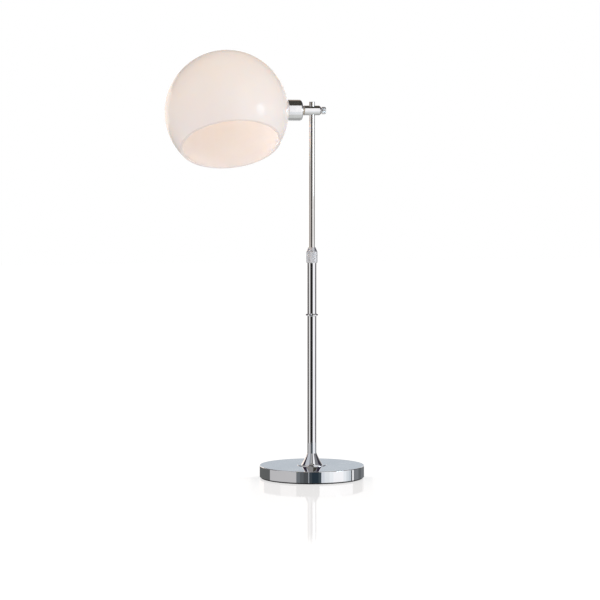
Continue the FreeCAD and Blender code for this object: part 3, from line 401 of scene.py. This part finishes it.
def makeOpal(look):
    # painted light: the glass is tinted bluer towards the mouth, for the light that falls on it
    # there, and the rim's edge is painted darker, a painted shade
    opal = makeFinish(look)
    tree = opal.node_tree
    shader = tree.nodes["Principled BSDF"]
    place = addNode(tree, "TexCoord")
    fromCentre = addNode(tree, "VectorMath", {1: look["centre"]}, operation="SUBTRACT")
    wire(tree, place.outputs["Object"], fromCentre, 0)
    towards = reachAlong(tree, fromCentre.outputs["Vector"], look["mouthTowards"])
    paintedCoolShare = spread(tree, towards, look["coolFrom"], look["rimFrom"], 0, 1)
    paintedRimShade = addNode(tree, "Math", {1: look["rimFrom"]}, operation="GREATER_THAN")
    wire(tree, towards, paintedRimShade, 0)
    for share, colour in ((paintedCoolShare, look["paintedCoolLight"]), (paintedRimShade.outputs["Value"], look["rim"])):
        mixed = addNode(tree, "Mix", data_type="RGBA")
        mixed.inputs["B"].default_value = (*colour, 1)
        wire(tree, share, mixed, "Factor")
        wire(tree, shader.inputs["Base Color"].links[0].from_socket, mixed, "A")
        wire(tree, mixed.outputs["Result"], shader, "Base Color")
    return opal


opalGlass = makeOpal(opalLook)

lampGlassLook = {
    "name": "frostedLampGlass", "colour": (0.93, 0.90, 0.86), "metal": 0.0, "rough": 0.42,
    "colourBy": ((patchNoise, 0.006), [(0.3, (0.93, 0.90, 0.86)), (0.7, (0.96, 0.94, 0.91))]),
    "bumps": [((patchNoise, 0.0004, 5), 0.00001, 0.6)],      # the frosting
    "sockets": {"Subsurface Weight": 0.4, "Subsurface Radius": (1.0, 0.8, 0.6),
                "Subsurface Scale": 0.002, "Emission Color": (1.0, 1.0, 0.99, 1),
                "Emission Strength": 3.7},
}
ironLook = {
    "name": "castIronLacquered", "colour": (0.05, 0.05, 0.055), "metal": 0.0, "rough": 0.55,
    "colourBy": ((patchNoise, 0.012, 8), [(0.3, (0.030, 0.030, 0.034)),
                                          (0.55, (0.055, 0.055, 0.060)),
                                          (0.75, (0.085, 0.075, 0.065))]),
    "roughBy": ((patchNoise, 0.004, 6), 0.42, 0.68),
    "bumps": [((patchNoise, 0.0012, 7), 0.00018, 0.8)],      # sand-cast skin under the lacquer
}
zincLook = {
    "name": "zincSteel", "colour": (0.62, 0.63, 0.65), "metal": 1.0, "rough": 0.34,
    "colourBy": ((patchNoise, 0.004, 5), [(0.3, (0.52, 0.54, 0.58)), (0.5, (0.64, 0.65, 0.66)),
                                          (0.72, (0.66, 0.63, 0.55))]),
    "roughBy": ((cellPattern, 0.0016), 0.26, 0.44, 0.1, 0.7),
    "bumps": [((patchNoise, 0.0005, 4), 0.000008, 0.7)],
}
brassLook = {
    "name": "turnedBrass", "colour": (0.74, 0.56, 0.28), "metal": 1.0, "rough": 0.28,
    "colourBy": ((patchNoise, 0.005, 5), [(0.28, (0.52, 0.37, 0.18)), (0.5, (0.74, 0.56, 0.28)),
                                          (0.75, (0.80, 0.64, 0.36))]),
    "roughBy": ((patchNoise, 0.002, 4), 0.22, 0.38),
    "bumps": [((latheLines, 0.00025), 0.000003)],
}
fibreLook = {
    "name": "greyFibre", "colour": (0.50, 0.48, 0.48), "metal": 0.0, "rough": 0.62,
    "colourBy": ((patchNoise, 0.0008, 6, (1, 1, 8)), [(0.3, (0.40, 0.38, 0.38)),
                                                      (0.7, (0.58, 0.56, 0.57))]),
    "bumps": [((patchNoise, 0.0004, 6, (1, 1, 8)), 0.00002, 0.8)],
}
foamLook = {
    "name": "closedCellFoam", "colour": (0.022, 0.022, 0.023), "metal": 0.0, "rough": 0.85,
    "colourBy": ((cellPattern, 0.0007), [(0.1, (0.012, 0.012, 0.012)),
                                         (0.7, (0.034, 0.034, 0.036))]),
    "bumps": [((cellPattern, 0.0007), 0.00012, 0.9)],
}
blackGlassLook = {
    "name": "blackGlass", "colour": (0.012, 0.012, 0.014), "metal": 0.0, "rough": 0.06,
    "colourBy": ((patchNoise, 0.004, 3), [(0.3, (0.009, 0.009, 0.011)),
                                          (0.7, (0.02, 0.02, 0.023))]),
    "bumps": [((patchNoise, 0.003, 2), 0.00004, 0.5)],
}
ceramicLook = {
    "name": "steatite", "colour": (0.84, 0.825, 0.79), "metal": 0.0, "rough": 0.46,
    "colourBy": ((patchNoise, 0.0009, 5), [(0.32, (0.74, 0.71, 0.66)),
                                           (0.42, (0.84, 0.825, 0.79)),
                                           (0.7, (0.87, 0.86, 0.83))]),
    "bumps": [((patchNoise, 0.0006, 4), 0.00003, 0.7)],
}
lampMetalLook = {
    "name": "rolledAluminium", "colour": (0.78, 0.78, 0.79), "metal": 1.0, "rough": 0.3,
    "colourBy": ((patchNoise, 0.003, 4), [(0.3, (0.68, 0.68, 0.69)), (0.7, (0.80, 0.80, 0.81))]),
    "roughBy": ((patchNoise, 0.0012, 4), 0.24, 0.40),
    "bumps": [((latheLines, 0.0003, *armAxis), 0.000004)],
}
mouldedLook = {"patch": 0.01, "gloss": 0.003, "glossier": 0.06, "duller": 0.08,
               "through": (1.0, 0.9, 0.8), "throughDepth": 0.001}


def makeMoulded(name, colour, shade, rough, grain=0.0005, depth=0.00002, soft=0.0):
    look = mouldedLook
    return makeFinish({
        "name": name, "colour": colour, "metal": 0.0, "rough": rough,
        "colourBy": ((patchNoise, look["patch"], 3), [(0.35, shade), (0.65, colour)]),
        "roughBy": ((patchNoise, look["gloss"], 4), rough - look["glossier"],
                    rough + look["duller"]),
        "bumps": [((patchNoise, grain, 3), depth, 0.7)],
        "sockets": {"Subsurface Weight": soft, "Subsurface Radius": look["through"],
                    "Subsurface Scale": look["throughDepth"]}})


slotFinishes = {
    "polished_chrome": polishedChrome, "satin_chrome": satinChromeUpright,
    "opal_glass": opalGlass, "frosted_glass": makeFinish(lampGlassLook),
    "cast_iron": makeFinish(ironLook), "zinc_steel": makeFinish(zincLook),
    "raw_brass": makeFinish(brassLook), "fibre": makeFinish(fibreLook),
    "foam": makeFinish(foamLook), "black_glass": makeFinish(blackGlassLook),
    "ceramic": makeFinish(ceramicLook), "lamp_aluminium": makeFinish(lampMetalLook),
    "nylon": makeMoulded("naturalNylon", (0.80, 0.78, 0.72), (0.76, 0.735, 0.67), 0.42, soft=0.3),
    "black_plastic": makeMoulded("blackMoulding", (0.020, 0.020, 0.022), (0.014, 0.014, 0.015),
                                 0.48),
    "white_plastic": makeMoulded("whiteMoulding", (0.84, 0.835, 0.80), (0.80, 0.79, 0.75), 0.34,
                                 soft=0.15),
    "silicone": makeMoulded("silicone", (0.80, 0.74, 0.715), (0.76, 0.70, 0.67), 0.68, 0.0008,
                            0.00001, soft=0.5),
}
satinFinishes = {"hub": satinChromeArm, "cup": satinChromeArm, "clamp_screw": satinChromeArm,
                 "upper_rod": satinChromeRod, "rod_cap": satinChromeRod}
for nodeName, node in nodes.items():
    for place in node.material_slots:
        slotName = place.material.name.split(".")[0]
        if slotName not in slotFinishes:
            raise RuntimeError(f"no finish for slot {slotName} on {nodeName}")
        place.material = slotFinishes[slotName]
        if slotName == "satin_chrome" and nodeName in satinFinishes:
            place.material = satinFinishes[nodeName]
collar.data.materials.append(satinChromeGrip)
knob.data.materials.append(satinChromeArm)
for piece in (collar, knob):
    selectOnly(piece)
    bpy.ops.object.shade_smooth_by_angle(angle=math.radians(smoothUpTo))
print("finishes assigned")

# camera, at the photograph's angle
cameraView = {"place": (-0.9933, -3.8748, 0.5471), "pitchDown": 3.663, "turn": -14.1,
              "lens": 147.52, "sensor": 36, "reach": 60}
cameraTurn = math.radians(cameraView["turn"])
bpy.ops.object.camera_add(
    location=cameraView["place"],
    rotation=(math.radians(90 - cameraView["pitchDown"]), 0, cameraTurn))
camera = bpy.context.object
camera.data.lens = cameraView["lens"]
camera.data.sensor_width = cameraView["sensor"]
camera.data.clip_end = cameraView["reach"]
scene.camera = camera
toCamera = Vector((math.sin(cameraTurn), -math.cos(cameraTurn), 0))
toRight = Vector((math.cos(cameraTurn), math.sin(cameraTurn), 0))

# world: plain white to the eye, to metal and through glass; a plain level for the rest
lightLevels = {"background": 1.0, "room": (0.87, 0.82, 0.79)}


def makeWorld(levels):
    world = bpy.data.worlds.new("studio")
    scene.world = world
    world.use_nodes = True
    world.cycles.sampling_method = "NONE"
    tree = world.node_tree
    tree.nodes.clear()
    room = addNode(tree, "Background", {"Color": (*levels["room"], 1)})
    white = addNode(tree, "Background", {"Color": (1, 1, 1, 1), "Strength": levels["background"]})
    shown = mixShaders(tree, seenItself(tree), room.outputs[0], white.outputs[0])
    wire(tree, shown, addNode(tree, "OutputWorld"), "Surface")


makeWorld(lightLevels)

# Studio cards on a drum round the lamp, seen only in metal and glass. Heights are in metres.
# A card is its first and last angle, counted in degrees from the camera's side towards the
# picture's right, and its colour. The white room shows wherever no card stands.
cardSizes = {"radius": 3.0, "ceilingLeft": (0.27, 0.26, 0.25),
             "ceilingRight": (0.055, 0.052, 0.043), "ceilingSplit": 0.5,
             "tableFront": (0.60, 0.62, 0.60), "tableBack": (0.38, 0.39, 0.38)}
cardBands = [      # each with a note of what mirrors it
    {"from": -2.4, "to": -1.5, "cards": [(-180, 181, (0.80, 0.81, 0.82))]},      # what faces down
    {"from": -1.5, "to": -0.31, "cards": [      # the foot's side
        (-163, -104, (0.125, 0.13, 0.125)), (-104, -34, (0.555, 0.55, 0.545)),
        (-34, -26, (0.155, 0.17, 0.18)), (-26, -18, (0.11, 0.12, 0.125)),
        (-18, -8, (0.078, 0.085, 0.088)), (-8, -6, (0.36, 0.38, 0.40)),
        (-6, 0, (0.047, 0.06, 0.07)), (0, 14, (0.024, 0.038, 0.050)),
        (14, 20, (0.058, 0.076, 0.088)), (20, 27, (0.71, 0.745, 0.78)),
        (27, 38, (0.82, 0.853, 0.86)), (38, 47, (0.90, 0.93, 0.94)),
        (72, 80, (0.87, 0.905, 0.92)), (80, 87, (0.73, 0.77, 0.79)),
        (87, 94, (0.61, 0.66, 0.69)), (94, 98, (0.12, 0.125, 0.13)),
        (103, 122, (0.20, 0.21, 0.22)), (122, 136, (0.13, 0.14, 0.145)),
        (136, 163, (0.18, 0.19, 0.195))]},
    {"from": -0.31, "to": 0.215, "cards": [      # the outer tubes
        (-163, -116, (0.20, 0.19, 0.18)), (-116, -82, (0.09, 0.085, 0.08)),
        (-82, -46, (0.84, 0.83, 0.80)), (-46, -28, (0.16, 0.155, 0.15)),
        (-28, 22, (0.015, 0.014, 0.014)), (88, 128, (0.13, 0.125, 0.13)),
        (128, 163, (0.25, 0.25, 0.26))]},
    {"from": 0.215, "to": 1.3, "cards": [      # the rod and the globe
        (-163, -130, (1.20, 1.06, 0.95)), (-130, -72, (0.27, 0.255, 0.25)),
        (-72, -34, (0.62, 0.59, 0.57)), (-34, 16, (0.02, 0.018, 0.016)),
        (62, 100, (0.86, 0.86, 0.87)), (100, 145, (0.09, 0.09, 0.09)),
        (145, 163, (0.50, 0.48, 0.48))]},
    {"from": 1.3, "to": 4.3, "cards": [      # what faces up
        (-180, -163, (0.30, 0.25, 0.21)), (-163, -98, (0.035, 0.028, 0.045)),
        (-98, -44, (0.55, 0.57, 0.60)), (-44, -14, (0.33, 0.34, 0.36)),
        (-14, -4, (0.60, 0.59, 0.56)), (-4, 20, (0.16, 0.16, 0.165)),
        (50, 98, (0.22, 0.22, 0.23)), (98, 163, (0.035, 0.028, 0.045)),
        (163, 180, (0.30, 0.25, 0.21))]},
]


def flatColour(name, colour):
    card = bpy.data.materials.new(name)
    card.use_nodes = True
    shader = card.node_tree.nodes["Principled BSDF"]
    shader.inputs["Base Color"].default_value = (0, 0, 0, 1)
    shader.inputs["Specular IOR Level"].default_value = 0
    shader.inputs["Emission Color"].default_value = (*colour, 1)
    shader.inputs["Emission Strength"].default_value = 1
    return card


def hideFromAllButGloss(card):
    for kind in ("camera", "diffuse", "transmission", "volume_scatter", "shadow"):
        setattr(card, "visible_" + kind, False)


def cardAt(face, sizes, bands):
    spot = face.calc_center_median()
    if abs(face.normal.z) > 0.5:
        if spot.z > 0:
            return sizes["ceilingRight" if spot.x > sizes["ceilingSplit"] else "ceilingLeft"]
        return sizes["tableFront" if spot.dot(toCamera) > 0 else "tableBack"]
    angle = math.degrees(math.atan2(spot.dot(toRight), spot.dot(toCamera)))
    for band in bands:
        if band["from"] < spot.z < band["to"]:
            for start, end, colour in band["cards"]:
                if start <= angle < end:
                    return colour
    return None


def makeCards(sizes, bands):
    deselectAll()
    low, high = bands[0]["from"], bands[-1]["to"]
    bpy.ops.mesh.primitive_cylinder_add(      # one side for each degree
        vertices=360, radius=sizes["radius"], depth=high - low, end_fill_type="NGON",
        location=(0, 0, (high + low) / 2))
    drum = nameNew("studioCards")
    applyPlace()
    bpy.ops.object.mode_set(mode="EDIT")
    cuts = [((0, 0, band["from"]), (0, 0, 1)) for band in bands[1:]]
    cuts += [((0, 0, 0), toCamera), ((sizes["ceilingSplit"], 0, 0), (1, 0, 0))]
    for spot, facing in cuts:
        bpy.ops.mesh.select_all(action="SELECT")
        bpy.ops.mesh.bisect(plane_co=spot, plane_no=facing)
    pick(drum, "FACE", lambda f: cardAt(f, sizes, bands) is None)
    bpy.ops.mesh.delete(type="FACE")
    shape = bmesh.from_edit_mesh(drum.data)
    colours = sorted({cardAt(face, sizes, bands) for face in shape.faces})
    for number, colour in enumerate(colours):
        drum.data.materials.append(flatColour(f"card{number + 1}", colour))
    for face in shape.faces:
        face.material_index = colours.index(cardAt(face, sizes, bands))
    bmesh.update_edit_mesh(drum.data)
    bpy.ops.object.mode_set(mode="OBJECT")
    hideFromAllButGloss(drum)
    return drum


cards = makeCards(cardSizes, cardBands)

# far behind the lamp, a small blue-grey card that only the flat top of the foot mirrors;
# its sides are in degrees from the camera
backCardSizes = {"fromCamera": 34.0, "left": -1.15, "right": 1.70, "low": 7.0, "high": 7.9,
                 "colour": (0.525, 0.572, 0.615)}


def makeBackCard(s):
    deselectAll()
    eye = Vector(cameraView["place"])
    away = s["fromCamera"]
    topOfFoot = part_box("base_shell")[1].z
    left, right, low, high = (away * math.tan(math.radians(s[side]))
                              for side in ("left", "right", "low", "high"))
    middle = topOfFoot * 2 - eye.z + (low + high) / 2      # counted from the mirrored camera
    bpy.ops.mesh.primitive_plane_add(
        size=1, location=eye.xy.to_3d() - toCamera * away + toRight * (left + right) / 2
        + Vector((0, 0, middle)), rotation=(math.radians(90), 0, cameraTurn))
    card = nameNew("backCard")
    card.scale = (right - left, high - low, 1)
    applyPlace()
    card.data.materials.append(flatColour("backCardBlue", s["colour"]))
    hideFromAllButGloss(card)
    return card


backCard = makeBackCard(backCardSizes)

# floor: plain and pale, keeps a soft shadow and a faint mirror image
floorLook = {"size": 14.0, "colour": (0.88, 0.88, 0.88), "rough": 0.9, "shade": 0.38,
             "lift": 0.80, "mirror": 0.26, "mirrorRough": 0.05, "polishedFrom": (-0.03, 0.01),
             "polishedTo": (0.56, 0.74), "polishedAside": (0.10, 0.17)}


def makeFloor(look):
    deselectAll()
    bpy.ops.mesh.primitive_plane_add(size=look["size"], location=(0, 0, 0))
    floor = nameNew("paleFloor")
    paint = bpy.data.materials.new("paleFloor")
    paint.use_nodes = True
    tree = paint.node_tree
    shader = tree.nodes["Principled BSDF"]
    shader.inputs["Base Color"].default_value = (*look["colour"], 1)
    shader.inputs["Roughness"].default_value = look["rough"]
    shader.inputs["Specular IOR Level"].default_value = 0
    # to the eye, much of the paint's own shading gives way to an even glow
    seen = seenItself(tree)
    dark = addNode(tree, "Emission", {"Strength": 0})
    glow = addNode(tree, "Emission")
    lifted = addNode(tree, "AddShader")
    toned = mixShaders(tree, product(tree, seen, 1 - look["shade"]), shader.outputs[0],
                       dark.outputs[0])
    wire(tree, product(tree, seen, look["lift"]), glow, "Strength")
    wire(tree, toned, lifted, 0)
    wire(tree, glow.outputs[0], lifted, 1)
    # the polish is a strip in front of the lamp only
    place = addNode(tree, "TexCoord").outputs["Object"]
    towards = reachAlong(tree, place, toCamera)
    aside = addNode(tree, "Math", operation="ABSOLUTE")
    wire(tree, reachAlong(tree, place, toRight), aside, 0)
    starts = spread(tree, towards, *look["polishedFrom"], 0, 1, "SMOOTHSTEP")
    ends = spread(tree, towards, *look["polishedTo"], 1, 0, "SMOOTHSTEP")
    beside = spread(tree, aside.outputs[0], *look["polishedAside"], look["mirror"], 0,
                    "SMOOTHSTEP")
    strip = product(tree, product(tree, starts, ends), beside)
    share = product(tree, strip, addNode(tree, "LightPath").outputs["Is Camera Ray"])
    mirror = addNode(tree, "BsdfGlossy", {"Roughness": look["mirrorRough"]})
    shown = mixShaders(tree, share, lifted.outputs[0], mirror.outputs[0])
    wire(tree, shown, tree.nodes["Material Output"], "Surface")
    floor.data.materials.append(paint)
    floor.visible_glossy = False
    return floor


floor = makeFloor(floorLook)

# one soft lamp, right of the camera
lampSizes = {"angle": 64.0, "distance": 2.4, "height": 0.80, "size": 0.8, "power": 7.5,
             "colour": (0.66, 0.86, 1.0), "aimHeight": 0.5}


def makeSoftLamp(s):
    turn = cameraTurn + math.radians(s["angle"])
    spot = Vector((math.sin(turn), -math.cos(turn), 0)) * s["distance"]
    spot.z = s["height"]
    bpy.ops.object.light_add(type="AREA", location=spot)
    lamp = bpy.context.object
    lamp.data.shape = "DISK"
    lamp.data.size = s["size"]
    lamp.data.energy = s["power"]
    lamp.data.color = s["colour"]
    aim = Vector((0, 0, s["aimHeight"])) - spot
    lamp.rotation_euler = aim.to_track_quat("-Z", "Y").to_euler()


makeSoftLamp(lampSizes)
print("studio set")

scene.view_settings.view_transform = "Standard"
